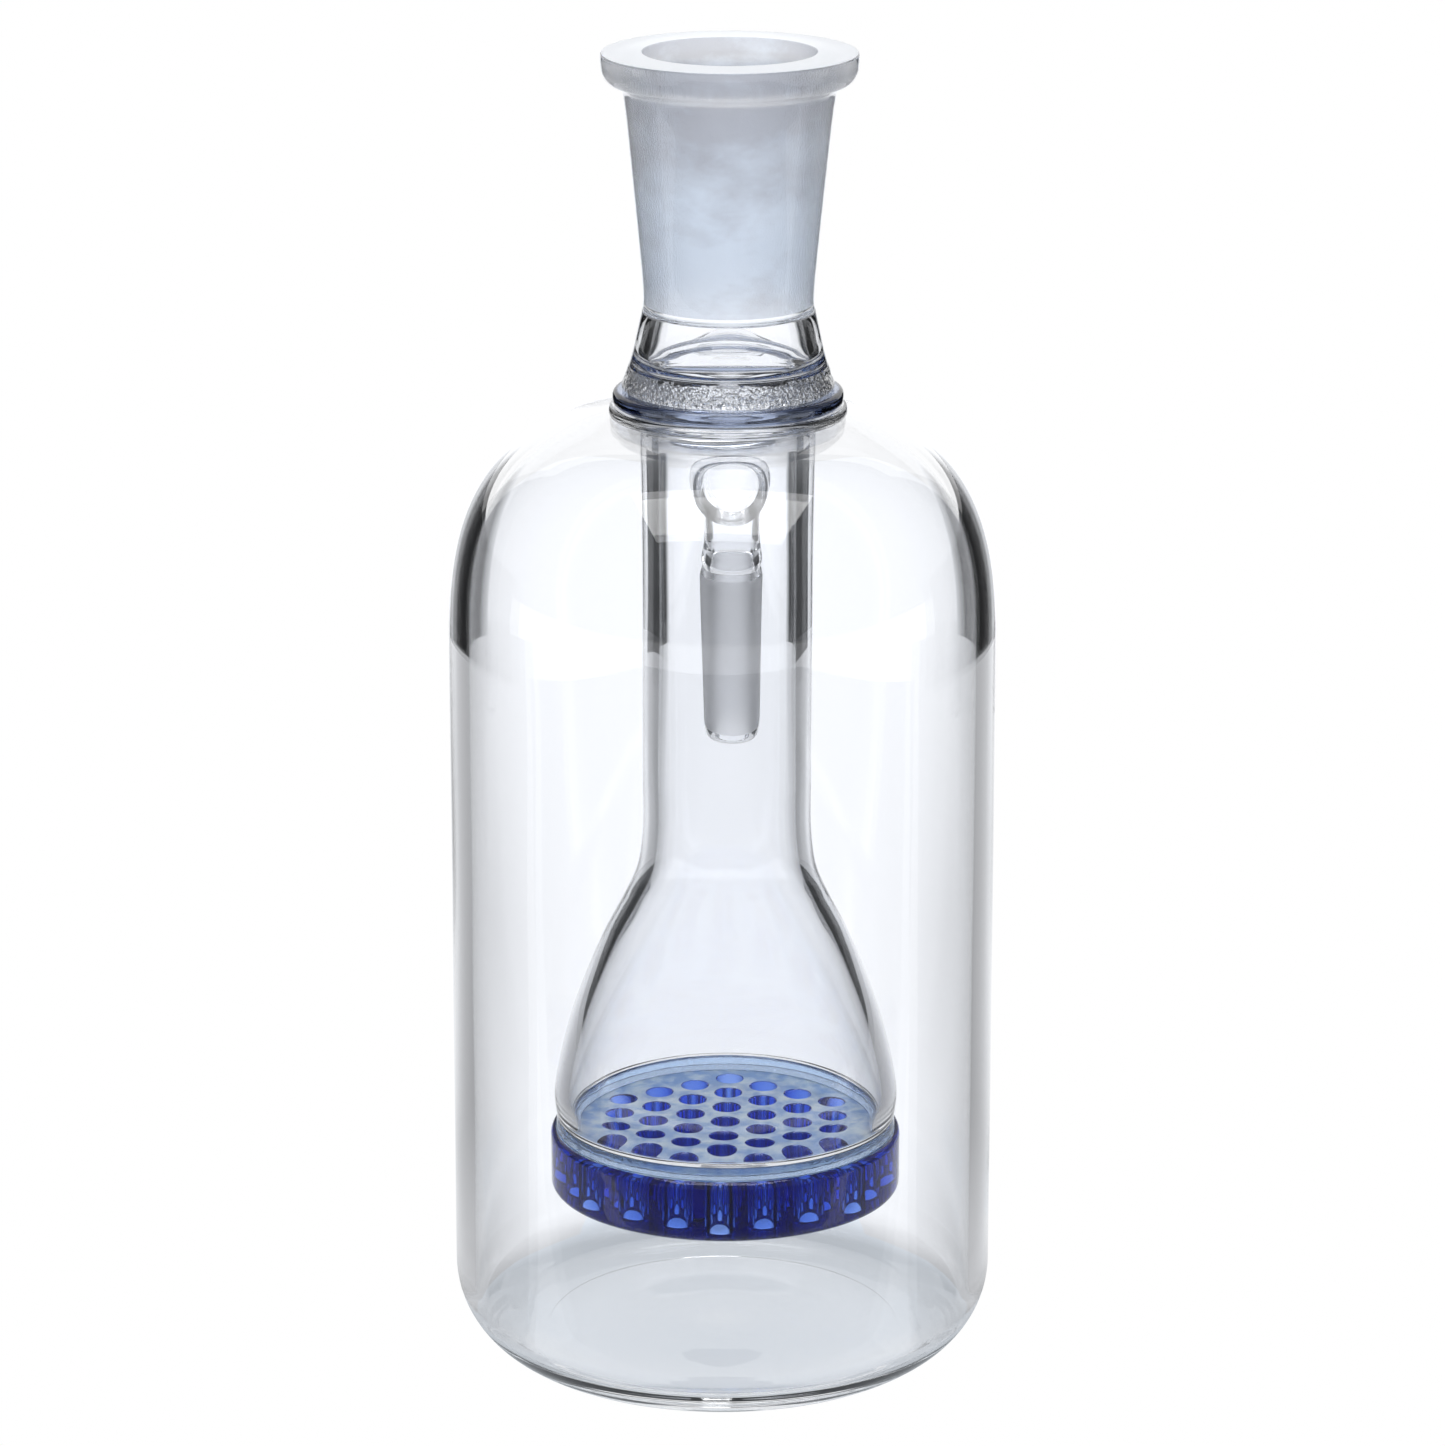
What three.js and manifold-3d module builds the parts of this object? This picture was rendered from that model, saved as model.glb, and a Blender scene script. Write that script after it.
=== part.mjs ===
// Percolator ash catcher in lamp-worked borosilicate glass.
// Millimetres, +Z up. The origin is the centre of the flat underside, and the outlet arm points to +Y.
import * as THREE from 'three';
import { mergeVertices } from 'three/addons/utils/BufferGeometryUtils.js';
import Module from 'manifold-3d';

const wasm = await Module();
wasm.setup();

// ---------------------------------------------------------------- driving dimensions
const seamGap = 0.3;
const roundSides = 40;
const tubeSides = 24;
const holeSides = 12;

const overallHeight = 149;
const chamber = { radius: 30.4, wall: 2.2, floor: 3.2, corner: 10.4, innerCorner: 4.4 };
const shoulder = { startZ: 82.5, topZ: 108.9, topRadius: 9, exponent: 2.65 };
const downtube = { radius: 9.45, bore: 7.5, bottomZ: 58.3 };
const neckBore = downtube.radius + seamGap;

const neck = { seatZ: 109.2, seatTopZ: 110, blueTopZ: 111.7, beadTopZ: 114.5 };
const ring = { seatRadius: 13.1, blueRadius: 12.7, beadRadius: 11.9 };
const socket = { tailRadius: 10.8, tailBore: 8.8, tailBulge: 10.1, waistRadius: 9.4, waistZ: 122.3 };
const ground = { bottomZ: 121, bottomBore: 8, wallFootZ: 124.3, wallTopRadius: 11.45, wallTopZ: 144.2 };
const flange = { radius: 14, bottomZ: 145.6, lowerRound: 1.8, upperRound: 0.8, mouthRadius: 9.4 };

const bell = { radius: 19.35, wall: 1.7, bottomZ: 28.1, footRadius: 19.15, weldBore: 17.2, topRadius: 9.7 };
const disc = { radius: 19.85, bottomZ: 19.5, topZ: 26.6, holeRadius: 1.52, pitch: 4.75, rings: 3 };

const arm = { z: 97.5, radius: 6.5, bore: 5.1, bend: 10, jointY: 46, endZ: 83.6 };
const flare = { radius: 8.3, startY: 28.5, endY: 32.4, endRadius: 6.7 };
const male = { topZ: 81.7, shoulder: 1.3, tipZ: 60.1, topRadius: 7.4, tipRadius: 6.15, bore: 4.6, edge: 0.5 };

// ---------------------------------------------------------------- materials
const clearGlass = { color: 0xe6edf5, roughness: 0.04, metalness: 0 };
const frostedGlass = { color: 0xc6d0df, roughness: 0.6, metalness: 0 };
const blueGlass = { color: 0x1c2a86, roughness: 0.05, metalness: 0 };

// ---------------------------------------------------------------- helpers
const point = (r, z) => new THREE.Vector2(r, z);

function arc(centreR, centreZ, radius, startDegrees, endDegrees, steps) {
  const points = [];
  for (let i = 0; i <= steps; i += 1) {
    const angle = THREE.MathUtils.degToRad(THREE.MathUtils.lerp(startDegrees, endDegrees, i / steps));
    points.push(point(centreR + radius * Math.cos(angle), centreZ + radius * Math.sin(angle)));
  }
  return points;
}

// Turns a closed outline, listed counter-clockwise in (radius, z), about the Z axis.
function revolve(outline, sides) {
  const loop = outline[0].x === 0 ? outline : [...outline, outline[0].clone()];
  const geometry = new THREE.LatheGeometry(loop, sides);
  geometry.rotateX(Math.PI / 2);
  return weld(geometry);
}

function weld(geometry) {
  geometry.deleteAttribute('normal');
  geometry.deleteAttribute('uv');
  return mergeVertices(geometry, 1e-5);
}

function toSolid(geometry) {
  const welded = geometry.index ? geometry : weld(geometry);
  const vertProperties = new Float32Array(welded.attributes.position.array);
  const triVerts = new Uint32Array(welded.index.array);
  return new wasm.Manifold(new wasm.Mesh({ numProp: 3, vertProperties, triVerts }));
}

function toGeometry(solid) {
  const mesh = solid.getMesh();
  const geometry = new THREE.BufferGeometry();
  geometry.setAttribute('position', new THREE.BufferAttribute(new Float32Array(mesh.vertProperties), 3));
  geometry.setIndex(new THREE.BufferAttribute(new Uint32Array(mesh.triVerts), 1));
  return geometry;
}

function makeMesh(name, geometry, glass) {
  geometry.computeVertexNormals();
  const mesh = new THREE.Mesh(geometry, new THREE.MeshStandardMaterial(glass));
  mesh.name = name;
  return mesh;
}

// A plain ring with its two outer edges rounded.
function roundedRing(bore, radius, bottomZ, topZ) {
  const round = (topZ - bottomZ) / 2;
  const middleZ = bottomZ + round;
  const outer = arc(radius - round, middleZ, round, -90, 90, 4);
  const outline = [point(bore, bottomZ), ...outer, point(bore, topZ)];
  return revolve(outline, roundSides);
}

// ---------------------------------------------------------------- chamber
// The dome of the shoulder is a quarter of a superellipse, from the straight wall to the neck.
function shoulderCurve(inset, steps) {
  const power = 2 / shoulder.exponent;
  const reachR = chamber.radius - shoulder.topRadius - inset;
  const reachZ = shoulder.topZ - shoulder.startZ - inset;
  const mouthCosine = ((neckBore - shoulder.topRadius) / reachR) ** (1 / power);
  const endAngle = Math.acos(mouthCosine);
  const points = [];
  for (let i = 0; i <= steps; i += 1) {
    const angle = (endAngle * i) / steps;
    const r = shoulder.topRadius + reachR * Math.cos(angle) ** power;
    const z = shoulder.startZ + reachZ * Math.sin(angle) ** power;
    points.push(point(r, z));
  }
  return points;
}

function chamberOuterCurve(grow) {
  const centreR = chamber.radius - chamber.corner;
  return [...arc(centreR, chamber.corner, chamber.corner + grow, -90, 0, 5), ...shoulderCurve(-grow, 8)];
}

function chamberInnerCurve() {
  const centreR = chamber.radius - chamber.wall - chamber.innerCorner;
  const centreZ = chamber.floor + chamber.innerCorner;
  return [...arc(centreR, centreZ, chamber.innerCorner, -90, 0, 4), ...shoulderCurve(chamber.wall, 8)];
}

function outletPort() {
  const port = new THREE.CylinderGeometry(arm.bore, arm.bore, 20, tubeSides);
  port.translate(0, chamber.radius, arm.z);
  return toSolid(weld(port));
}

function chamberBody() {
  const outer = [point(0, 0), ...chamberOuterCurve(0)];
  const inner = [point(0, chamber.floor), ...chamberInnerCurve()];
  const shell = toSolid(revolve([...outer, ...inner.reverse()], roundSides));
  return makeMesh('chamber_body', toGeometry(shell.subtract(outletPort())), clearGlass);
}

// ---------------------------------------------------------------- neck
function neckSeatRing() {
  const geometry = roundedRing(neckBore, ring.seatRadius, neck.seatZ, neck.seatTopZ);
  return makeMesh('neck_seat_ring', geometry, clearGlass);
}

function blueSealRing() {
  const bottomZ = neck.seatTopZ + seamGap;
  const geometry = roundedRing(neckBore, ring.blueRadius, bottomZ, neck.blueTopZ);
  return makeMesh('blue_seal_ring', geometry, blueGlass);
}

function neckWeldBead() {
  const bottomZ = neck.blueTopZ + seamGap;
  const geometry = roundedRing(neckBore, ring.beadRadius, bottomZ, neck.beadTopZ);
  return makeMesh('neck_weld_bead', geometry, clearGlass);
}

// ---------------------------------------------------------------- female joint
function tailCurve(bottomZ) {
  const foot = point(socket.tailRadius, bottomZ);
  const waist = point(socket.waistRadius, socket.waistZ);
  const bulge = point(socket.tailBulge, (bottomZ + socket.waistZ) / 2);
  return new THREE.QuadraticBezierCurve(foot, bulge, waist).getPoints(4);
}

function flangeCurve() {
  const lowerR = flange.radius - flange.lowerRound;
  const lower = arc(lowerR, flange.bottomZ + flange.lowerRound, flange.lowerRound, -90, 0, 4);
  const upperR = flange.radius - flange.upperRound;
  const upper = arc(upperR, overallHeight - flange.upperRound, flange.upperRound, 15, 90, 3);
  return [...lower, ...upper];
}

function socketJoint() {
  const bottomZ = neck.beadTopZ + seamGap;
  const outline = [
    point(socket.tailBore, bottomZ),
    ...tailCurve(bottomZ),
    point(socket.waistRadius, ground.wallFootZ),
    point(ground.wallTopRadius, ground.wallTopZ),
    ...flangeCurve(),
    point(flange.mouthRadius, overallHeight),
    point(ground.bottomBore, ground.bottomZ),
  ];
  return makeMesh('socket_joint', revolve(outline, roundSides), frostedGlass);
}

// ---------------------------------------------------------------- downtube, bell and disc
function innerDowntube() {
  const outline = [
    point(downtube.bore, downtube.bottomZ),
    point(downtube.radius, downtube.bottomZ),
    point(downtube.radius, neck.beadTopZ),
    point(downtube.bore, neck.beadTopZ),
  ];
  return makeMesh('inner_downtube', revolve(outline, roundSides), clearGlass);
}

function bellCurve(inset) {
  const topZ = downtube.bottomZ - seamGap;
  const knots = [
    point(bell.footRadius, bell.bottomZ),
    point(bell.radius, 31),
    point(17.8, 38.6),
    point(15.55, 45.1),
    point(12.9, 51),
    point(bell.topRadius, topZ),
  ];
  return new THREE.SplineCurve(knots).getPoints(8).map((knot) => point(knot.x - inset, knot.y));
}

function diffuserBell() {
  const outline = [...bellCurve(0), ...bellCurve(bell.wall).reverse()];
  return makeMesh('diffuser_bell', revolve(outline, roundSides), clearGlass);
}

function bellDiscWeld() {
  const bottomZ = disc.topZ + seamGap;
  const topZ = bell.bottomZ - seamGap;
  return makeMesh('bell_disc_weld', roundedRing(bell.weldBore, bell.radius, bottomZ, topZ), clearGlass);
}

// Hole centres on a hexagonal grid, as rings round the middle, with columns parallel to Y.
function holeCentres() {
  const centres = [];
  for (let column = -disc.rings; column <= disc.rings; column += 1) {
    const count = 2 * disc.rings + 1 - Math.abs(column);
    for (let row = 0; row < count; row += 1) {
      const x = column * disc.pitch * Math.cos(Math.PI / 6);
      const y = (row - (count - 1) / 2) * disc.pitch;
      centres.push(new THREE.Vector2(x, y));
    }
  }
  return centres;
}

function honeycombDisc() {
  const rim = new THREE.EllipseCurve(0, 0, disc.radius, disc.radius).getPoints(roundSides);
  const outline = new THREE.Shape(rim);
  for (const centre of holeCentres()) {
    outline.holes.push(new THREE.Path().absarc(centre.x, centre.y, disc.holeRadius, 0, 2 * Math.PI, true));
  }
  const depth = disc.topZ - disc.bottomZ;
  const settings = { depth, bevelEnabled: false, curveSegments: holeSides / 2 };
  const geometry = new THREE.ExtrudeGeometry(outline, settings);
  geometry.translate(0, 0, disc.bottomZ);
  return makeMesh('honeycomb_disc', weld(geometry), blueGlass);
}

// ---------------------------------------------------------------- outlet arm
function outletWeldBead() {
  const rim = point(flare.radius, flare.startY);
  const throat = point(flare.endRadius, flare.endY);
  const fillet = new THREE.QuadraticBezierCurve(rim, point(flare.endRadius, flare.startY), throat);
  const insideY = chamber.radius / 2;
  const outline = [
    point(arm.bore, insideY),
    point(flare.radius, insideY),
    ...fillet.getPoints(4),
    point(arm.bore, flare.endY),
  ];
  const bead = revolve(outline, tubeSides);
  bead.rotateX(-Math.PI / 2);
  bead.translate(0, 0, arm.z);
  const bodyOutline = [point(0, 0), ...chamberOuterCurve(seamGap), point(0, shoulder.topZ)];
  const trimmed = toSolid(bead).subtract(toSolid(revolve(bodyOutline, roundSides)));
  return makeMesh('outlet_weld_bead', toGeometry(trimmed), clearGlass);
}

// Straight out of the flare, a quarter bend down, and a short straight end over the male joint.
function armPath() {
  const place = (y, z) => new THREE.Vector3(0, y, z);
  const bendY = arm.jointY - arm.bend;
  const bendZ = arm.z - arm.bend;
  const handle = arm.bend * 0.5523;
  const bendStart = place(bendY, arm.z);
  const bendEnd = place(arm.jointY, bendZ);
  const handles = [place(bendY + handle, arm.z), place(arm.jointY, bendZ + handle)];
  const path = new THREE.CurvePath();
  path.add(new THREE.LineCurve3(place(flare.endY + seamGap, arm.z), bendStart));
  path.add(new THREE.CubicBezierCurve3(bendStart, ...handles, bendEnd));
  path.add(new THREE.LineCurve3(bendEnd, place(arm.jointY, arm.endZ)));
  return path;
}

function outletElbow() {
  const section = new THREE.Shape().absarc(0, 0, arm.radius, 0, 2 * Math.PI);
  section.holes.push(new THREE.Path().absarc(0, 0, arm.bore, 0, 2 * Math.PI, true));
  const settings = { steps: 14, curveSegments: tubeSides / 2, extrudePath: armPath() };
  const geometry = new THREE.ExtrudeGeometry(section, settings);
  return makeMesh('outlet_elbow', weld(geometry), clearGlass);
}

function jointWeldRing() {
  const ringGeometry = roundedRing(arm.bore, male.topRadius, male.topZ + seamGap, arm.endZ - seamGap);
  const mesh = makeMesh('joint_weld_ring', ringGeometry, clearGlass);
  mesh.position.y = arm.jointY;
  return mesh;
}

function maleJoint() {
  const outline = [
    point(male.bore, male.tipZ),
    ...arc(male.tipRadius - male.edge, male.tipZ + male.edge, male.edge, -90, 0, 3),
    point(male.topRadius, male.topZ - male.shoulder),
    point(arm.radius, male.topZ),
    point(male.bore, male.topZ),
  ];
  const mesh = makeMesh('male_joint', revolve(outline, tubeSides), frostedGlass);
  mesh.position.y = arm.jointY;
  return mesh;
}

// ---------------------------------------------------------------- assembly
const ashCatcher = new THREE.Group();
ashCatcher.add(chamberBody(), neckSeatRing(), blueSealRing(), neckWeldBead(), socketJoint());
ashCatcher.add(innerDowntube(), diffuserBell(), bellDiscWeld(), honeycombDisc());
ashCatcher.add(outletWeldBead(), outletElbow(), jointWeldRing(), maleJoint());

export default ashCatcher;
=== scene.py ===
import math

import bmesh
import bpy
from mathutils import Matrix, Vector


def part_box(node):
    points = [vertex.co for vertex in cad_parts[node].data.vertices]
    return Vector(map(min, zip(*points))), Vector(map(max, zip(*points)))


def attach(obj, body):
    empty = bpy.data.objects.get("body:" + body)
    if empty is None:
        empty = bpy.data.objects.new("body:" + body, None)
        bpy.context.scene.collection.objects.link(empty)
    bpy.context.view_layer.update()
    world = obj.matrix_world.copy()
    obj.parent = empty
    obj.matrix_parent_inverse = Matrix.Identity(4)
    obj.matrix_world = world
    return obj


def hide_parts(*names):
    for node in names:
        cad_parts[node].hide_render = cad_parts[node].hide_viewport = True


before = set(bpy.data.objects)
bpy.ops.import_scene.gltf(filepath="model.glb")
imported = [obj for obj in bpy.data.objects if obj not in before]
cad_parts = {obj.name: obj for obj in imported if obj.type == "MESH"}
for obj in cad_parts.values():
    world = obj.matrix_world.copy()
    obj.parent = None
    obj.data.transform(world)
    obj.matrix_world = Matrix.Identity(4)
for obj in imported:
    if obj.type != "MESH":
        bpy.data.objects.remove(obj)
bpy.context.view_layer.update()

# A lamp-worked percolator in clear borosilicate glass with a cobalt blue honeycomb disc.
# Outlines are (radius, height) in millimetres, and so are all named lengths.

MM = 0.001
SEAM = 0.02  # clearance left at each fused seam


def node_box(node):
    """Lowest and highest corner of a CAD node, in millimetres."""
    low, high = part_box(node)
    return Vector(low) / MM, Vector(high) / MM


CHAMBER_HIGH = node_box("chamber_body")[1]
SEAT_HIGH = node_box("neck_seat_ring")[1]
BLUE_LOW, BLUE_HIGH = node_box("blue_seal_ring")
BEAD_LOW, BEAD_HIGH = node_box("neck_weld_bead")
SOCKET_LOW, SOCKET_HIGH = node_box("socket_joint")
TUBE_HIGH = node_box("inner_downtube")[1]
BELL_LOW, BELL_HIGH = node_box("diffuser_bell")
DISC_LOW, DISC_HIGH = node_box("honeycomb_disc")
FLARE_HIGH = node_box("outlet_weld_bead")[1]
ELBOW_HIGH = node_box("outlet_elbow")[1]
MALE_LOW, MALE_HIGH = node_box("male_joint")

CHAMBER_RADIUS = CHAMBER_HIGH.x
WALL = 2.2
FLOOR_THICKNESS = 3.2
OUTER_CORNER = 10.4  # rounding between the wall and the underside
INNER_CORNER = 4.4
SHOULDER_START = 82.5  # height at which the straight wall ends
SHOULDER_TOP_RADIUS = 9.0  # radius at which the dome would be level
SHOULDER_EXPONENT = 2.65
NECK_MOUTH = 10.4  # radius of the chamber's opening under the neck
TUBE_RADIUS = TUBE_HIGH.x
TUBE_BORE = 7.5
ARM_RADIUS = ELBOW_HIGH.x
ARM_BORE = 5.1
ARM_BEND = 10.0
ARM_Z = ELBOW_HIGH.z - ARM_RADIUS
JOINT_Y = (MALE_LOW.y + MALE_HIGH.y) / 2
TAIL_BORE = 8.0  # at the lower end of the female joint's ground zone
GROUND_BOTTOM = 121.0  # lowest height of that ground zone
HOLE_RADIUS = 1.52
HOLE_PITCH = 4.75
HOLE_RINGS = 3
COBALT = (0.1, 0.38, 0.87)
COBALT_DENSITY = 400  # per metre

# Brightness of the light table as the glass sees it, in red, green and blue.
GLOW = (1.13, 1.145, 1.175)
PAINTED_SHADOW_TINT = (1.06, 1.13, 1.21)  # painted contact shadow tint: a little bluer, under the object
CONTACT_RADIUS = 60

# Heights of the light table and of the sheets that lie on it.
FLOOR_Z = -0.05
GLOW_Z = -0.037
CONTACT_Z = -0.025
SHEET_Z = 0.3


# ------------------------------------------------------------------ outlines
def arc(centre, radius, start, end, steps):
    """Points on a circle in the outline's plane, from start to end degrees."""
    points = []
    for i in range(steps + 1):
        angle = math.radians(start + (end - start) * i / steps)
        points.append((centre[0] + radius * math.cos(angle), centre[1] + radius * math.sin(angle)))
    return points


def rounded(corners, steps=6):
    """A closed outline from (r, z, fillet radius) corners, each rounded by a quadratic curve."""
    points = []
    count = len(corners)
    for i, (r, z, fillet) in enumerate(corners):
        here = Vector((r, z))
        before = Vector(corners[i - 1][:2])
        after = Vector(corners[(i + 1) % count][:2])
        if fillet == 0:
            points.append((r, z))
            continue
        start = here + (before - here).normalized() * fillet
        end = here + (after - here).normalized() * fillet
        for k in range(steps + 1):
            t = k / steps
            point = start * (1 - t) ** 2 + here * 2 * t * (1 - t) + end * t**2
            points.append((point.x, point.y))
    return points


def smooth_curve(knots, steps):
    """A Catmull-Rom curve through the knots."""
    points = []
    ends = [knots[0], *knots, knots[-1]]
    for i in range(len(knots) - 1):
        p0, p1, p2, p3 = (Vector(p) for p in ends[i : i + 4])
        for k in range(steps):
            t = k / steps
            point = 0.5 * (
                2 * p1
                + (p2 - p0) * t
                + (2 * p0 - 5 * p1 + 4 * p2 - p3) * t**2
                + (3 * p1 - p0 - 3 * p2 + p3) * t**3
            )
            points.append((point.x, point.y))
    points.append(tuple(knots[-1]))
    return points


def offset_curve(points, distance):
    """The curve moved to its left by distance, point by point."""
    moved = []
    last = len(points) - 1
    for i, (r, z) in enumerate(points):
        before = Vector(points[max(i - 1, 0)])
        after = Vector(points[min(i + 1, last)])
        along = (after - before).normalized()
        moved.append((r - along.y * distance, z + along.x * distance))
    return moved


def dense(points, step, closed=True):
    """The outline with its long stretches divided, so that a rounded edge shades only itself."""
    result = []
    pairs = zip(points, points[1:] + points[:1] if closed else points[1:])
    for (r0, z0), (r1, z1) in pairs:
        length = math.hypot(r1 - r0, z1 - z0)
        if length < 1e-6:
            continue
        parts = max(1, math.ceil(length / step))
        for k in range(parts):
            result.append((r0 + (r1 - r0) * k / parts, z0 + (z1 - z0) * k / parts))
    if not closed:
        result.append(points[-1])
    return result


# ------------------------------------------------------------------ mesh makers
def upright(x=0.0, y=0.0, lean=0.0):
    """A vertical axis through (x, y); it leans towards +X by lean millimetres for each millimetre up."""
    return lambda s: (Vector((x + lean * s, y, s)), Vector((1, 0, 0)), Vector((0, 1, 0)))


def arm_axis(s):
    """The arm's centre line: +Y from the chamber's axis, a quarter bend, then down. s is its length."""
    bend_start = JOINT_Y - ARM_BEND
    bend_length = ARM_BEND * math.pi / 2
    across = Vector((1, 0, 0))
    if s <= bend_start:
        return Vector((0, s, ARM_Z)), across, Vector((0, 0, 1))
    if s <= bend_start + bend_length:
        turn = (s - bend_start) / ARM_BEND
        radial = Vector((0, math.sin(turn), math.cos(turn)))
        return Vector((0, bend_start, ARM_Z - ARM_BEND)) + radial * ARM_BEND, across, radial
    drop = s - bend_start - bend_length
    return Vector((0, JOINT_Y, ARM_Z - ARM_BEND - drop)), across, Vector((0, 1, 0))


def arm_length_at(z):
    """Length along the arm's centre line down to height z on its straight end."""
    return JOINT_Y - ARM_BEND + ARM_BEND * math.pi / 2 + ARM_Z - ARM_BEND - z


def wobble(angle, s, amount):
    """Slight unevenness of hand-worked glass, in millimetres."""
    slow = math.sin(2 * angle + 0.9 + 0.05 * s) + 0.6 * math.sin(3 * angle - 0.08 * s)
    fast = 0.35 * math.sin(5 * angle + 0.21 * s + 1.7)
    return amount * (slow + fast)


def turned(name, outline, axis, sides=160, uneven=0.0):
    """A closed solid: the outline turned about the axis. An outline that starts on the axis ends on it."""
    bm = bmesh.new()
    rings = []
    for r, s in outline:
        centre, u, v = axis(s)
        if r < 1e-6:
            rings.append([bm.verts.new(centre * MM)])
            continue
        ring = []
        for i in range(sides):
            angle = 2 * math.pi * i / sides
            radius = r + wobble(angle, s, uneven)
            point = centre + (u * math.cos(angle) + v * math.sin(angle)) * radius
            ring.append(bm.verts.new(point * MM))
        rings.append(ring)
    pairs = list(zip(rings, rings[1:]))
    if outline[0][0] >= 1e-6:
        pairs.append((rings[-1], rings[0]))
    for lower, upper in pairs:
        join_rings(bm, lower, upper)
    return finished(name, bm)


def join_rings(bm, lower, upper):
    """Faces between two rings of vertices, either of which may be a single point."""
    count = max(len(lower), len(upper))
    for i in range(count):
        j = (i + 1) % count
        below = [lower[i % len(lower)], lower[j % len(lower)]]
        above = [upper[j % len(upper)], upper[i % len(upper)]]
        corners = list(dict.fromkeys([*below, *above]))
        if len(corners) > 2:
            bm.faces.new(corners)


def finished(name, bm):
    """An object from the bmesh, with outward faces and smooth shading."""
    bmesh.ops.recalc_face_normals(bm, faces=bm.faces)
    for face in bm.faces:
        face.smooth = True
    mesh = bpy.data.meshes.new(name)
    bm.to_mesh(mesh)
    bm.free()
    piece = bpy.data.objects.new(name, mesh)
    bpy.context.scene.collection.objects.link(piece)
    return piece


def carve(piece, cutter):
    """Cuts the cutter's solid out of the piece and removes the cutter."""
    cut = piece.modifiers.new("cut", "BOOLEAN")
    cut.operation = "DIFFERENCE"
    cut.solver = "EXACT"
    cut.object = cutter
    depsgraph = bpy.context.evaluated_depsgraph_get()
    mesh = bpy.data.meshes.new_from_object(piece.evaluated_get(depsgraph))
    piece.modifiers.clear()
    piece.data = mesh
    bpy.data.objects.remove(cutter)
    mesh.set_sharp_from_angle(angle=math.radians(35))


# ------------------------------------------------------------------ materials
def new_material(name):
    """A material with one Principled shader."""
    material = bpy.data.materials.new(name)
    material.use_nodes = True
    tree = material.node_tree
    tree.nodes.clear()
    output = tree.nodes.new("ShaderNodeOutputMaterial")
    shader = tree.nodes.new("ShaderNodeBsdfPrincipled")
    tree.links.new(shader.outputs["BSDF"], output.inputs["Surface"])
    return material, tree, shader


def add_noise(tree, scale, detail=2.0, roughness=0.5, stretch=(1, 1, 1)):
    """Noise in object space. scale is per metre."""
    coords = tree.nodes.new("ShaderNodeTexCoord")
    mapping = tree.nodes.new("ShaderNodeMapping")
    mapping.inputs["Scale"].default_value = stretch
    noise = tree.nodes.new("ShaderNodeTexNoise")
    noise.inputs["Scale"].default_value = scale
    noise.inputs["Detail"].default_value = detail
    noise.inputs["Roughness"].default_value = roughness
    tree.links.new(coords.outputs["Object"], mapping.inputs["Vector"])
    tree.links.new(mapping.outputs["Vector"], noise.inputs["Vector"])
    return noise.outputs["Fac"]


def add_fade(tree, axis, start, end):
    """A value that goes from 0 at start to 1 at end along an axis of object space, in millimetres."""
    coords = tree.nodes.new("ShaderNodeTexCoord")
    split = tree.nodes.new("ShaderNodeSeparateXYZ")
    fade = tree.nodes.new("ShaderNodeMapRange")
    fade.inputs["From Min"].default_value = start * MM
    fade.inputs["From Max"].default_value = end * MM
    tree.links.new(coords.outputs["Object"], split.inputs["Vector"])
    tree.links.new(split.outputs[axis], fade.inputs["Value"])
    return fade.outputs["Result"]


def add_math(tree, operation, first, second):
    """A math node. Each operand is a node's output or a number."""
    node = tree.nodes.new("ShaderNodeMath")
    node.operation = operation
    for socket, value in zip(node.inputs, (first, second)):
        if isinstance(value, float):
            socket.default_value = value
        else:
            tree.links.new(value, socket)
    return node.outputs["Value"]


def add_bump(tree, shader, height, strength, distance):
    """Relief from a height value. distance is in metres."""
    bump = tree.nodes.new("ShaderNodeBump")
    bump.inputs["Strength"].default_value = strength
    bump.inputs["Distance"].default_value = distance
    tree.links.new(height, bump.inputs["Height"])
    tree.links.new(bump.outputs["Normal"], shader.inputs["Normal"])


def add_ramp(tree, value, first, last):
    """A colour between two (position, colour) stops."""
    ramp = tree.nodes.new("ShaderNodeValToRGB")
    for element, (position, color) in zip(ramp.color_ramp.elements, (first, last)):
        element.position = position
        element.color = (*color, 1)
    tree.links.new(value, ramp.inputs["Fac"])
    return ramp.outputs["Color"]


def glass_shader(shader, ior=1.47, roughness=0.0, transmission=1.0):
    """Sets the shader to glass. 1.47 is borosilicate."""
    shader.inputs["Transmission Weight"].default_value = transmission
    shader.inputs["IOR"].default_value = ior
    shader.inputs["Roughness"].default_value = roughness
    shader.inputs["Base Color"].default_value = (0.985, 0.99, 1.0, 1)


def absorb(tree, color, density):
    """Colour through the thickness. density is per metre."""
    output = tree.nodes["Material Output"]
    volume = tree.nodes.new("ShaderNodeVolumeAbsorption")
    volume.inputs["Color"].default_value = (*color, 1)
    volume.inputs["Density"].default_value = density
    tree.links.new(volume.outputs["Volume"], output.inputs["Volume"])


def clear_glass():
    """Polished borosilicate with faint drawing lines and a slight waviness."""
    material, tree, shader = new_material("clear_borosilicate")
    glass_shader(shader)
    waves = add_noise(tree, 45, detail=1.0, stretch=(1, 1, 0.35))
    add_bump(tree, shader, waves, 0.25, 0.0004)
    return material


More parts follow.
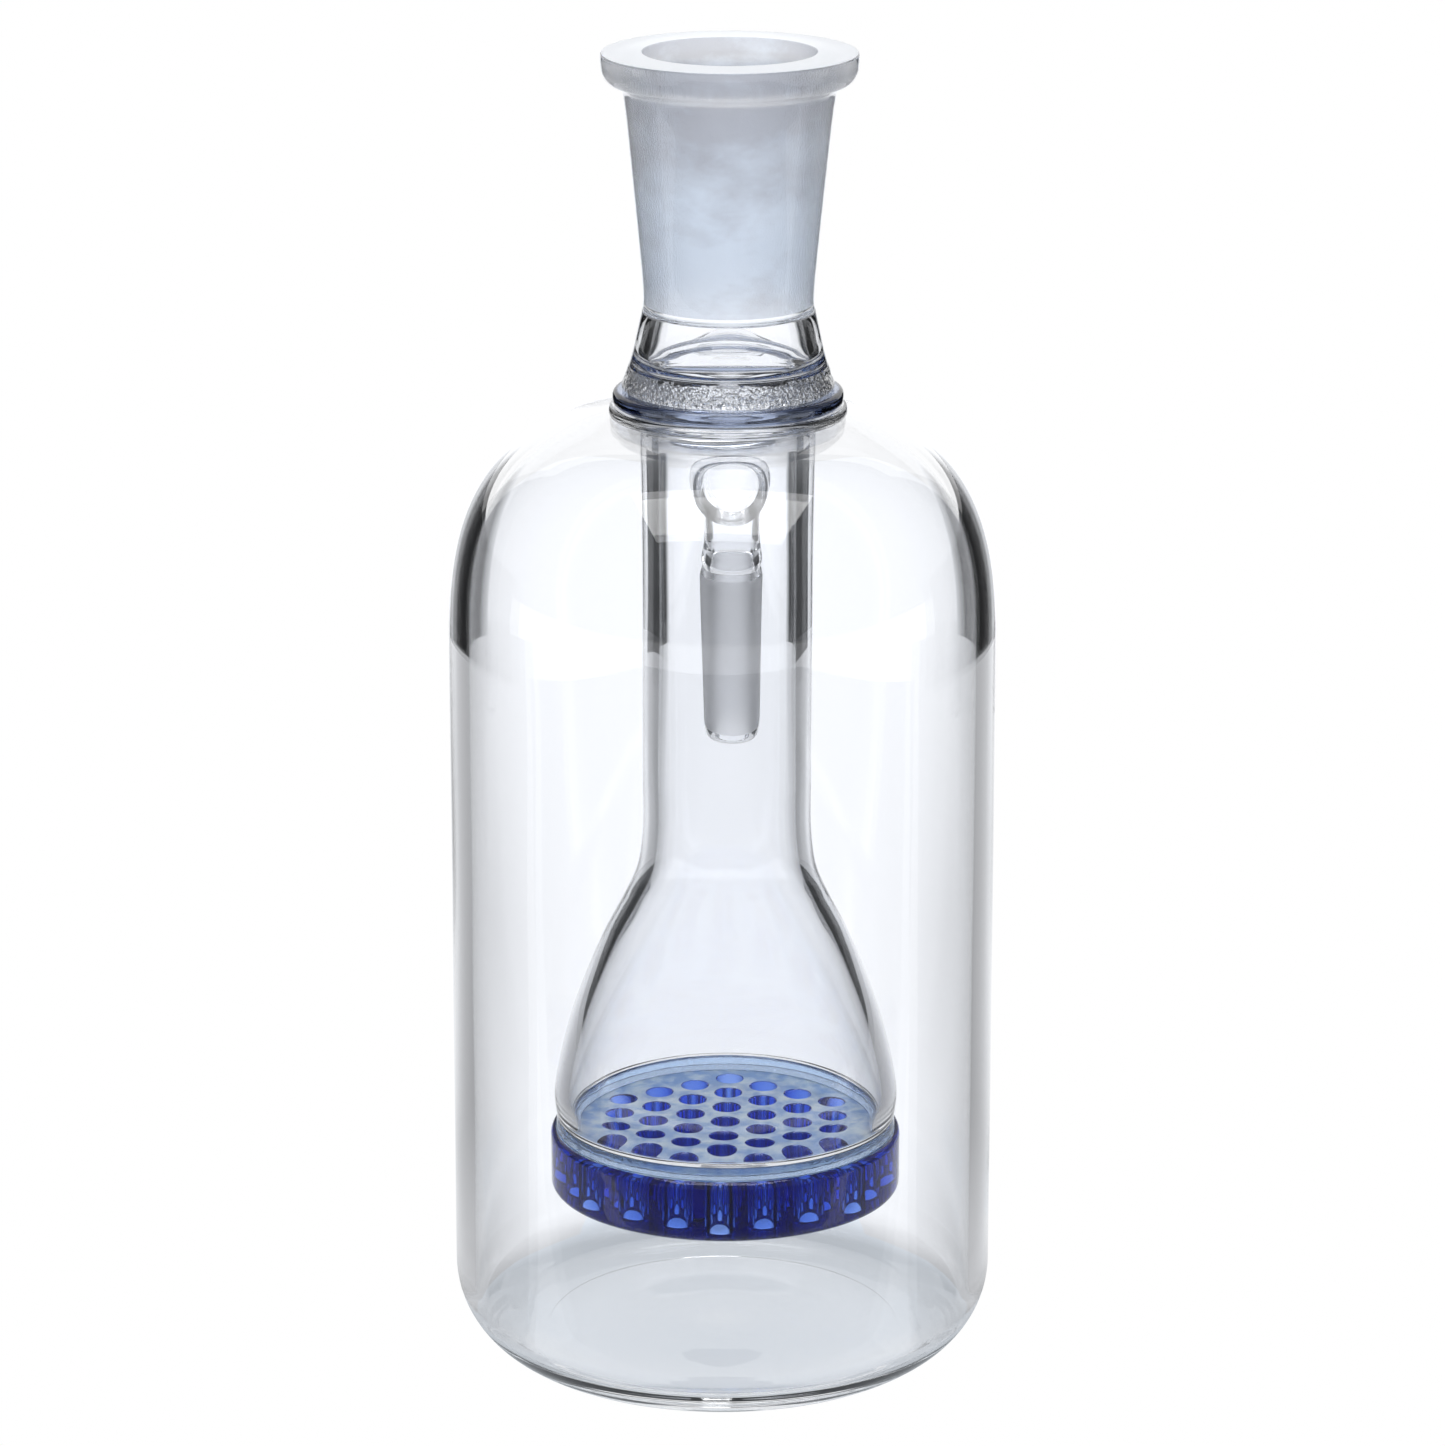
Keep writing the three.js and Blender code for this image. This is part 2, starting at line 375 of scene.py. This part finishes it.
def ground_glass(name, tint, patch_and_shade, low, high):
    """Sand-ground taper: fine grain, smoother rub marks, darker patches at random, and painted shade that
    darkens it more from low to high.
    """
    material, tree, shader = new_material(name)
    glass_shader(shader, roughness=0.5, transmission=0.88)
    grain = add_noise(tree, 5200, detail=3.0, roughness=0.7)
    add_bump(tree, shader, grain, 0.5, 0.00012)
    rubs = add_noise(tree, 160, detail=3.0, stretch=(1, 1, 2.2))
    roughness = add_ramp(tree, rubs, (0.3, (0.42,) * 3), (0.75, (0.6,) * 3))
    tree.links.new(roughness, shader.inputs["Roughness"])
    clouds = add_noise(tree, 130, detail=5.0, roughness=0.62, stretch=(1, 1, 1.6))
    # Painted shade: the darker colour spreads with height, from low to high.
    rise = add_math(tree, "MULTIPLY", add_fade(tree, "Z", low, high), 0.3)
    patches = add_math(tree, "ADD", clouds, rise)
    shades = add_ramp(tree, patches, (0.5, tint), (0.8, patch_and_shade))
    tree.links.new(shades, shader.inputs["Base Color"])
    return material


def lit_ground_rim():
    """The flat top of the flange: ground glass, made whiter than the taper as painted light on the upward
    face.
    """
    material, tree, shader = new_material("lit_ground_rim")
    glass_shader(shader, roughness=0.4, transmission=0.25)
    # Painted light: a near-white colour and little transmission make the upward face show white.
    shader.inputs["Base Color"].default_value = (0.95, 0.97, 1.0, 1)
    grain = add_noise(tree, 3000, detail=3.0)
    add_bump(tree, shader, grain, 0.3, 0.0001)
    return material


def seeded_glass():
    """The neck's clear weld glass, with a band of tiny seeds in front, which show as dimples."""
    material, tree, shader = new_material("seeded_weld")
    glass_shader(shader, roughness=0.02)
    coords = tree.nodes.new("ShaderNodeTexCoord")
    cells = tree.nodes.new("ShaderNodeTexVoronoi")
    cells.inputs["Scale"].default_value = 2000  # cells per metre
    tree.links.new(coords.outputs["Object"], cells.inputs["Vector"])
    front = add_fade(tree, "Y", 0.5, -4.0)
    low = add_fade(tree, "Z", BEAD_HIGH.z - 0.5, BEAD_HIGH.z - 1.1)
    mask = add_math(tree, "MULTIPLY", front, low)
    dimples = add_math(tree, "MULTIPLY", cells.outputs["Distance"], mask)
    add_bump(tree, shader, dimples, 0.85, 0.0003)
    return material


def cobalt_glass(name, color, density):
    """Deep blue glass, coloured through its thickness, with a slightly uneven pressed surface."""
    material, tree, shader = new_material(name)
    glass_shader(shader, ior=1.5, roughness=0.02)
    shader.inputs["Base Color"].default_value = (0.96, 0.98, 1.0, 1)
    waves = add_noise(tree, 260, detail=2.0)
    add_bump(tree, shader, waves, 0.3, 0.0002)
    absorb(tree, color, density)
    return material


def lit_disc_top():
    """The disc's flat top: a paler, more diffuse copy of the blue glass, lighter as painted light on the
    upward face, with random mottling.
    """
    material, tree, shader = new_material("lit_disc_top")
    glass_shader(shader, ior=1.5, roughness=0.12, transmission=0.3)
    mottle = add_noise(tree, 420, detail=3.0)
    # Painted light: these pale blues make the upward face lighter than the disc's sides.
    shades = add_ramp(tree, mottle, (0.38, (0.26, 0.46, 0.85)), (0.66, (0.72, 0.88, 1.0)))
    tree.links.new(shades, shader.inputs["Base Color"])
    add_bump(tree, shader, mottle, 0.3, 0.0002)
    absorb(tree, COBALT, COBALT_DENSITY)
    return material


def fused_weld():
    """Weld glass, tinted pale blue and a little diffuse."""
    material, tree, shader = new_material("fused_weld")
    glass_shader(shader, roughness=0.08, transmission=0.85)
    shader.inputs["Base Color"].default_value = (0.6, 0.75, 0.97, 1)
    ripple = add_noise(tree, 700, detail=2.0)
    add_bump(tree, shader, ripple, 0.35, 0.0003)
    return material


# ------------------------------------------------------------------ chamber
def shoulder_curve(inset, mouth, steps):
    """The dome's superellipse, from the straight wall up to the mouth radius."""
    power = 2 / SHOULDER_EXPONENT
    reach_r = CHAMBER_RADIUS - SHOULDER_TOP_RADIUS - inset
    reach_z = CHAMBER_HIGH.z - SHOULDER_START - inset
    end_angle = math.acos(((mouth - SHOULDER_TOP_RADIUS) / reach_r) ** (1 / power))
    points = []
    for i in range(steps + 1):
        angle = end_angle * i / steps
        r = SHOULDER_TOP_RADIUS + reach_r * math.cos(angle) ** power
        z = SHOULDER_START + reach_z * math.sin(angle) ** power
        points.append((r, z))
    return points


def chamber_outer(grow=0.0, mouth=NECK_MOUTH):
    """From the foot up to the mouth, grow millimetres outside the glass."""
    centre = (CHAMBER_RADIUS - OUTER_CORNER, OUTER_CORNER)
    return [*arc(centre, OUTER_CORNER + grow, -90, 0, 24), *shoulder_curve(-grow, mouth, 60)]


def chamber_inner():
    """From the floor up to the mouth."""
    centre = (CHAMBER_RADIUS - WALL - INNER_CORNER, FLOOR_THICKNESS + INNER_CORNER)
    return [*arc(centre, INNER_CORNER, -90, 0, 20), *shoulder_curve(WALL, NECK_MOUTH, 60)]


def floor_line(radii, base, rise, width):
    """One side of the floor, from the axis outwards, with a soft rise in the middle."""
    return [(r, base + rise * math.exp(-((r / width) ** 2))) for r in radii]


def make_chamber():
    """The blown bottle, with the outlet port bored through its shoulder."""
    underside = floor_line((0.0, 2.0, 4.0, 6.0, 8.0, 11.0, 14.0, 17.0, 20.0), 0.0, 0.7, 12.0)
    inside = floor_line((0.0, 1.5, 3.0, 4.5, 6.5, 9.0, 13.0, 18.0), FLOOR_THICKNESS, 0.5, 5.0)
    outline = [*underside, *chamber_outer(), *reversed(chamber_inner()), *reversed(inside)]
    piece = turned("chamber", dense(outline, 1.2, closed=False), upright(), sides=224, uneven=0.03)
    port_start = 15
    port_end = 45
    bore = [(0, port_start), (ARM_BORE, port_start), (ARM_BORE, port_end), (0, port_end)]
    carve(piece, turned("port", bore, arm_axis, sides=64))
    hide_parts("chamber_body")
    return piece


# ------------------------------------------------------------------ neck and female joint
NECK_AXIS = upright(x=0.25, lean=0.0035)


def ring_outline(bore, radius, low, high):
    """A fused ring: flat top and bottom, and a rounded outer edge."""
    edge = (high - low) * 0.45
    corners = [(bore, low, 0.1), (radius, low, edge), (radius, high, edge), (bore, high, 0.1)]
    return rounded(corners, 10)


def make_neck_rings():
    """The lip that seats the neck, the blue ring and the clear weld bead, from the bottom up."""
    bore = TUBE_RADIUS + SEAM
    half_gap = 0.15  # half of the CAD's gap between two rings, which the real rings don't have
    seat_top = BLUE_LOW.z - half_gap
    blue_top = BEAD_LOW.z - half_gap
    bead_top = SOCKET_LOW.z - SEAM
    bead_top_radius = 10.85
    seat_low = CHAMBER_HIGH.z - 0.05
    seat_outline = ring_outline(bore, SEAT_HIGH.x, seat_low, seat_top - SEAM)
    seat = turned("neck_seat", dense(seat_outline, 0.4), NECK_AXIS, uneven=0.05)
    blue_outline = ring_outline(bore, BLUE_HIGH.x, seat_top, blue_top - SEAM)
    blue = turned("blue_ring", dense(blue_outline, 0.4), NECK_AXIS, uneven=0.07)
    corners = [
        (bore, blue_top, 0.1),
        (BEAD_HIGH.x, blue_top, 0.9),
        (bead_top_radius, bead_top, 0.5),
        (bore, bead_top, 0.1),
    ]
    bead = turned("neck_bead", dense(rounded(corners, 10), 0.4), NECK_AXIS, uneven=0.05)
    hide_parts("neck_seat_ring")
    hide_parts("blue_seal_ring")
    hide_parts("neck_weld_bead")
    return seat, blue, bead


def make_socket():
    """The female joint, down to the end of its ground zone."""
    low = GROUND_BOTTOM - 0.3
    top = SOCKET_HIGH.z
    radius = SOCKET_HIGH.x
    mouth_radius = 9.4
    edge_round = 0.35
    mouth_round = 0.12
    wall = [(9.42, low), (9.45, 124.3), (11.0, top - 9), (11.45, top - 5.2)]
    under = [(11.7, top - 4.2), (12.4, top - 3.6), (13.3, top - 3.1), (13.85, top - 2.2)]
    rim = smooth_curve([*wall, *under, (radius, top - 1.0)], 6)
    edge = arc((radius - edge_round, top - edge_round), edge_round, 0, 90, 6)
    mouth = arc((mouth_radius + mouth_round, top - mouth_round), mouth_round, 90, 180, 4)
    outline = [*rim, *edge, *mouth, (TAIL_BORE, low)]
    piece = turned("female_joint", dense(outline, 0.5), NECK_AXIS, sides=192, uneven=0.02)
    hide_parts("socket_joint")
    return piece


def use_ground_inside(piece, ground, rim):
    """Gives the ground material to the taper's bore and the whiter, painted-light copy to the flange's
    flat top.
    """
    rim_low = SOCKET_HIGH.z - 0.4
    piece.data.materials.append(ground)
    piece.data.materials.append(rim)
    for face in piece.data.polygons:
        centre = face.center / MM
        axis_x = NECK_AXIS(centre.z)[0].x
        outward = face.normal.x * (centre.x - axis_x) + face.normal.y * centre.y
        if centre.z > GROUND_BOTTOM and outward < 0:
            face.material_index = 1
        elif centre.z > rim_low and face.normal.z > 0.7:
            face.material_index = 2


# ------------------------------------------------------------------ downtube, bell and disc
def make_downtube():
    """The joint's clear tail, the downtube and the bell are one unbroken wall of glass."""
    foot = BEAD_HIGH.z + SEAM
    top = GROUND_BOTTOM - 0.3 - SEAM
    tail = smooth_curve([(10.9, foot), (10.4, foot + 1.8), (9.92, foot + 4.0), (9.45, top)], 8)
    knots = [
        (BELL_HIGH.x - 0.25, BELL_LOW.z),
        (BELL_HIGH.x, 31.0),
        (18.55, 35.7),
        (17.3, 40.3),
        (15.55, 45.1),
        (13.75, 49.3),
        (11.45, 53.8),
        (10.0, 57.4),
        (TUBE_RADIUS, 62.0),
        (TUBE_RADIUS, 67.0),
    ]
    outer = smooth_curve(knots, 8)
    bell_wall = 1.7
    inner = [(min(max(r, TUBE_BORE), r + bell_wall), z) for r, z in offset_curve(outer, bell_wall)]
    throat = [(8.5, 114.5), (7.75, 113.7), (TUBE_BORE, 112.6), (TUBE_BORE, 108.0)]
    bore = smooth_curve([(TAIL_BORE, top), (8.15, 119.3), (8.55, 117.0), (8.85, 115.4), *throat], 8)
    outline = [*outer, (TUBE_RADIUS, foot), *tail, *bore, *reversed(inner)]
    piece = turned("downtube_bell", dense(outline, 0.8), NECK_AXIS, sides=192, uneven=0.035)
    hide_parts("inner_downtube", "diffuser_bell")
    return piece


def make_disc_weld():
    """The weld between the bell's mouth and the disc."""
    low = DISC_HIGH.z + SEAM
    high = BELL_LOW.z - SEAM
    corners = [
        (16.9, low, 0.3),
        (DISC_HIGH.x - 0.6, low, 0.15),
        (BELL_HIGH.x - 0.3, high, 0.2),
        (17.4, high, 0.2),
    ]
    piece = turned("disc_weld", dense(rounded(corners), 0.4), NECK_AXIS, uneven=0.04)
    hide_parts("bell_disc_weld")
    return piece


def use_lit_disc_top(piece, lit_top):
    """Gives the paler, painted-light copy of the blue glass to the disc's flat top."""
    piece.data.materials.append(lit_top)
    for face in piece.data.polygons:
        if face.normal.z > 0.9:
            face.material_index = 1


def hole_centres(pitch, rings):
    """A hexagonal grid in columns parallel to Y."""
    centres = []
    for column in range(-rings, rings + 1):
        count = 2 * rings + 1 - abs(column)
        for row in range(count):
            centres.append((column * pitch * math.cos(math.pi / 6), (row - (count - 1) / 2) * pitch))
    return centres


def drilled_wall(bm, centre, outline, sides):
    """A wall round one hole or round the rim. Returns its two end loops of edges."""
    rings = []
    for r, z in outline:
        ring = []
        for i in range(sides):
            angle = 2 * math.pi * i / sides
            point = Vector((centre[0] + r * math.cos(angle), centre[1] + r * math.sin(angle), z))
            ring.append(bm.verts.new(point * MM))
        rings.append(ring)
    for lower, upper in zip(rings, rings[1:]):
        join_rings(bm, lower, upper)
    loops = []
    for ring in (rings[0], rings[-1]):
        loops.append([bm.edges.get((ring[i], ring[(i + 1) % sides])) for i in range(sides)])
    return loops


def make_disc():
    """The drilled disc, with rounded edges at its rim and at each hole."""
    low = DISC_LOW.z
    high = DISC_HIGH.z
    edge = 0.9
    hole_edge = 0.25
    axis_x = NECK_AXIS(low)[0].x
    bm = bmesh.new()
    rim_outline = [
        *arc((DISC_HIGH.x - edge, low + edge), edge, -90, 0, 8),
        *arc((DISC_HIGH.x - edge, high - edge), edge, 0, 90, 8),
    ]
    loops = [drilled_wall(bm, (axis_x, 0), dense(rim_outline, 0.8, closed=False), 192)]
    hole_outline = [
        *arc((HOLE_RADIUS + hole_edge, low + hole_edge), hole_edge, -90, -180, 5),
        *arc((HOLE_RADIUS + hole_edge, high - hole_edge), hole_edge, 180, 90, 5),
    ]
    for x, y in hole_centres(HOLE_PITCH, HOLE_RINGS):
        loops.append(drilled_wall(bm, (axis_x + x, y), dense(hole_outline, 0.8, closed=False), 40))
    for side, normal in ((0, -1), (1, 1)):
        edges = [line for loop in loops for line in loop[side]]
        bmesh.ops.triangle_fill(bm, edges=edges, use_beauty=True, normal=(0, 0, normal))
    piece = finished("honeycomb", bm)
    for face in piece.data.polygons:
        face.use_smooth = abs(face.normal.z) < 0.999
    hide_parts("honeycomb_disc")
    return piece


# ------------------------------------------------------------------ outlet arm
def make_arm():
    """The weld on the shoulder, the bent arm and its weld to the male joint, as one wall of glass."""
    start = 16.0
    end = arm_length_at(MALE_HIGH.z) - SEAM
    foot = FLARE_HIGH.x
    weld = [
        (foot, 23.0),
        (foot - 0.1, 25.0),
        (foot - 0.55, 27.0),
        (foot - 1.1, 29.0),
        (foot - 1.5, 30.8),
        (ARM_RADIUS, 33.0),
        (ARM_RADIUS, 35.0),
    ]
    swelling = [
        (ARM_RADIUS, end - 6.0),
        (ARM_RADIUS + 0.1, end - 3.2),
        (ARM_RADIUS + 0.55, end - 1.6),
        (ARM_RADIUS + 0.6, end - 0.7),
        (ARM_RADIUS + 0.3, end),
    ]
    outside = [(foot, start), *smooth_curve(weld, 6), *smooth_curve(swelling, 8)]
    outline = [(ARM_BORE, start), *outside, (ARM_BORE, end)]
    piece = turned("outlet_arm", dense(outline, 0.6), arm_axis, sides=96, uneven=0.06)
    dome_top = 9.2  # the dome goes on past the neck's opening
    body = [(0, -1), *chamber_outer(grow=SEAM, mouth=dome_top), (0, CHAMBER_HIGH.z)]
    carve(piece, turned("body", body, upright(), sides=224, uneven=0.03))
    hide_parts("outlet_weld_bead", "outlet_elbow", "joint_weld_ring")
    return piece


def make_male_joint():
    """The male joint, with a rounded shoulder and tip."""
    start = arm_length_at(MALE_HIGH.z)
    tip = arm_length_at(MALE_LOW.z)
    bore = 4.6
    top_radius = MALE_HIGH.x
    corners = [
        (bore, start, 0.15),
        (6.8, start, 0.2),
        (top_radius, start + 1.3, 0.5),
        (6.3, tip - 1.5, 0.8),
        (5.75, tip, 0.6),
        (bore, tip, 0.4),
    ]
    piece = turned("male_joint_glass", dense(rounded(corners), 0.4), arm_axis, sides=128)
    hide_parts("male_joint")
    return piece


def use_ground_outside(piece, ground):
    """Gives the ground material to the outside of the male taper."""
    low = MALE_LOW.z + 1.2
    high = MALE_HIGH.z - 0.7
    piece.data.materials.append(ground)
    for face in piece.data.polygons:
        centre = face.center / MM
        outward = face.normal.x * centre.x + face.normal.y * (centre.y - JOINT_Y)
        if outward > 0 and low < centre.z < high:
            face.material_index = 1


# ------------------------------------------------------------------ studio
def make_camera():
    """Stands in front, a little to the right, and looks down at the object."""
    distance = 600 * MM
    height = 249 * MM
    azimuth = math.radians(2.2)
    pitch = math.radians(16.3)
    data = bpy.data.cameras.new("camera")
    data.sensor_width = 36
    data.lens = 139.5
    data.clip_start = 0.05
    data.clip_end = 20
    camera = bpy.data.objects.new("camera", data)
    camera.location = (distance * math.sin(azimuth), -distance * math.cos(azimuth), height)
    camera.rotation_euler = (math.pi / 2 - pitch, 0, azimuth)
    bpy.context.scene.collection.objects.link(camera)
    bpy.context.scene.camera = camera
    return camera


def emitter(name):
    """A white material that glows by itself."""
    material = bpy.data.materials.new(name)
    material.use_nodes = True
    tree = material.node_tree
    tree.nodes.clear()
    output = tree.nodes.new("ShaderNodeOutputMaterial")
    glow = tree.nodes.new("ShaderNodeEmission")
    glow.inputs["Color"].default_value = (1, 1, 1, 1)
    glow.inputs["Strength"].default_value = 1.0
    tree.links.new(glow.outputs["Emission"], output.inputs["Surface"])
    return material


def shaded_emitter(name):
    """An emitter that takes its colour from the mesh's own "shade" attribute."""
    material = emitter(name)
    tree = material.node_tree
    shade = tree.nodes.new("ShaderNodeAttribute")
    shade.attribute_name = "shade"
    tree.links.new(shade.outputs["Color"], tree.nodes["Emission"].inputs["Color"])
    return material


def step_values(x, stops):
    """Straight lines between the stops, flat outside them."""
    if x <= stops[0][0]:
        return stops[0][1]
    for (x0, y0), (x1, y1) in zip(stops, stops[1:]):
        if x <= x1:
            return y0 + (y1 - y0) * (x - x0) / (x1 - x0)
    return stops[-1][1]


def shade_grid(name, columns, rows, place, tone, tint):
    """A sheet of columns x rows cells that only the glass sees. tone gives each vertex's brightness."""
    bm = bmesh.new()
    layer = bm.verts.layers.float_color.new("shade")
    grid = []
    for i in range(columns + 1):
        line = []
        for k in range(rows + 1):
            u = i / columns
            v = k / rows
            vertex = bm.verts.new(Vector(place(u, v)) * MM)
            value = tone(u, v)
            vertex[layer] = (value * tint[0], value * tint[1], value * tint[2], 1)
            line.append(vertex)
        grid.append(line)
    for left, right in zip(grid, grid[1:]):
        for k in range(rows):
            bm.faces.new((left[k], right[k], right[k + 1], left[k + 1]))
    sheet = finished(name, bm)
    sheet.visible_camera = False
    sheet.data.materials.append(shaded_emitter(name))
    return sheet


def follow_camera(sheet, camera):
    """Turns the sheet with the camera about the object's axis. Its +Y points away from the camera."""
    turn = sheet.constraints.new("COPY_ROTATION")
    turn.target = camera
    turn.use_x = False
    turn.use_y = False


def make_floor():
    """A white light table, 12 m across."""
    bm = bmesh.new()
    bmesh.ops.create_circle(bm, cap_ends=True, segments=96, radius=6.0)
    floor = finished("floor", bm)
    floor.location.z = FLOOR_Z * MM
    floor.data.materials.append(emitter("light_table"))


def painted_shadow_tone(radius):
    """Brightness of the painted contact shadow on the table at a distance from the object's axis."""
    stops = [(0, 0.63), (16, 0.62), (25, 0.52), (31, 0.5), (42, 0.85), (CONTACT_RADIUS, 1.0)]
    return step_values(radius, stops)


def make_glow():
    """The light table as the glass sees it: brighter than the white that the camera shows."""
    side = 5000

    def place(u, v):
        return side * (u - 0.5), side * (v - 0.5), GLOW_Z

    shade_grid("table_glow", 1, 1, place, lambda u, v: 1.0, GLOW)


def make_painted_contact_shadow():
    """A painted contact shadow: the dimmer patch of the table under the glass."""
    def place(u, v):
        angle = 2 * math.pi * u
        radius = CONTACT_RADIUS * v
        return radius * math.cos(angle), radius * math.sin(angle), CONTACT_Z

    def tone(u, v):
        return painted_shadow_tone(CONTACT_RADIUS * v)

    shade_grid("painted_contact_shadow", 96, 60, place, tone, PAINTED_SHADOW_TINT)


def make_dark_card(name, side, camera):
    """A dark curved card beside and behind the object, which draws the dark lines in the glass."""
    first = 18.0  # degrees away from straight behind
    last = 85.0
    soft = 4.0
    radius = 315
    height = 120

    def place(u, v):
        angle = math.radians(90 - side * (first + (last - first) * u))
        return radius * math.cos(angle), radius * math.sin(angle), height * v

    def tone(u, v):
        return step_values((last - first) * u, [(0, 0.95), (soft, 0.02)])

    follow_camera(shade_grid(name, 67, 1, place, tone, (0.95, 0.97, 1.0)), camera)


def make_side_shade(name, side, camera):
    """A grey sheet on the table at one side, behind the object, darker away from the middle."""
    near = -20
    length = 334
    inner = 18
    width = 560
    clearance = 34  # the sheet stays this far from the object's axis
    stops = [(0.04, 0.98), (0.1, 0.94), (0.2, 0.83), (0.5, 0.47), (1.0, 0.33), (2.0, 0.3)]

    def spot(u, v):
        depth = near + length * v
        start = math.sqrt(max(clearance**2 - depth**2, inner**2))
        return start + width * u**1.6, depth

    def place(u, v):
        lateral, depth = spot(u, v)
        return side * lateral, depth, SHEET_Z

    def tone(u, v):
        lateral, depth = spot(u, v)
        slope = (lateral - inner) / max(depth, 60)
        fade = step_values(depth, [(150, 1.0), (312, 0.1)])
        fade = max(fade, step_values(slope, [(0.22, 0.0), (0.32, 1.0)]))
        dimming = 1 - (1 - step_values(slope, stops)) * fade
        # Near the object the sheet also carries the painted contact shadow.
        return dimming * painted_shadow_tone(math.hypot(lateral, depth))

    follow_camera(shade_grid(name, 60, 40, place, tone, GLOW), camera)


def make_front_shade(camera):
    """The dark room on the camera's side of the table, seen only as reflections."""
    width = 700
    near = -34
    length = 520

    def place(u, v):
        return width * (u - 0.5), near - length * v, SHEET_Z

    def tone(u, v):
        return step_values(length * v, [(0, 0.6), (30, 0.15), (length, 0.1)])

    follow_camera(shade_grid("front_shade", 4, 52, place, tone, (0.9, 0.95, 1.0)), camera)


def make_back_light(camera):
    """A white wall far behind the object."""
    width = 2600
    height = 1500
    distance = 1600

    def place(u, v):
        return width * (u - 0.5), distance, height * v

    follow_camera(shade_grid("back_light", 1, 1, place, lambda u, v: 1.0, (1, 1, 1)), camera)


def make_world():
    """A dim, even surround."""
    world = bpy.data.worlds.new("studio")
    bpy.context.scene.world = world
    world.use_nodes = True
    background = world.node_tree.nodes["Background"]
    background.inputs["Color"].default_value = (0.93, 0.96, 1.0, 1)
    background.inputs["Strength"].default_value = 0.3


def make_softbox():
    """A soft light above and in front, aimed at the middle of the object."""
    light = bpy.data.lights.new("softbox_top", "AREA")
    light.shape = "RECTANGLE"
    light.size = 0.8
    light.size_y = 0.6
    light.energy = 6.0
    lamp = bpy.data.objects.new("softbox_top", light)
    lamp.location = (0.0, -0.2, 0.9)
    lamp.rotation_euler = (Vector((0, 0, 0.07)) - lamp.location).to_track_quat("-Z", "Y").to_euler()
    bpy.context.scene.collection.objects.link(lamp)


def set_scene():
    """Plain colours, and enough bounces for light to pass every wall of the glass."""
    scene = bpy.context.scene
    scene.view_settings.view_transform = "Standard"
    scene.cycles.max_bounces = 40
    scene.cycles.transmission_bounces = 40
    scene.cycles.glossy_bounces = 16
    scene.cycles.volume_bounces = 0
    scene.cycles.blur_glossy = 0.0


# ------------------------------------------------------------------ assembly
def dress(piece, material):
    """Gives the piece its material, and fixes it to the one rigid body."""
    piece.data.materials.clear()
    piece.data.materials.append(material)
    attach(piece, "root")


camera = make_camera()
set_scene()
make_world()
make_floor()
make_glow()
make_painted_contact_shadow()
make_front_shade(camera)
make_back_light(camera)
for side, word in ((-1, "left"), (1, "right")):
    make_dark_card(f"dark_card_{word}", side, camera)
    make_side_shade(f"side_shade_{word}", side, camera)
make_softbox()

clear = clear_glass()
ground = ground_glass("ground_socket", (0.8, 0.88, 0.99), (0.54, 0.555, 0.61), 130, 143)
ground_male = ground_glass("ground_male", (0.86, 0.86, 0.87), (0.76, 0.76, 0.77), 60, 81)
seeded = seeded_glass()
weld = fused_weld()
cobalt = cobalt_glass("cobalt_disc", COBALT, COBALT_DENSITY)
# The neck ring is drawn as blue glass, coloured through its thickness.
blue_ring_glass = cobalt_glass("blue_ring_glass", (0.2, 0.3, 0.52), 330)

chamber = make_chamber()
seat_ring, blue_ring, neck_bead = make_neck_rings()
female_joint = make_socket()
downtube = make_downtube()
disc_weld = make_disc_weld()
honeycomb = make_disc()
arm = make_arm()
male_joint = make_male_joint()

for piece in (chamber, seat_ring, downtube, arm):
    dress(piece, clear)
dress(neck_bead, seeded)
dress(disc_weld, weld)
dress(blue_ring, blue_ring_glass)
dress(honeycomb, cobalt)
dress(female_joint, clear)
dress(male_joint, clear)
use_ground_inside(female_joint, ground, lit_ground_rim())
use_ground_outside(male_joint, ground_male)
use_lit_disc_top(honeycomb, lit_disc_top())
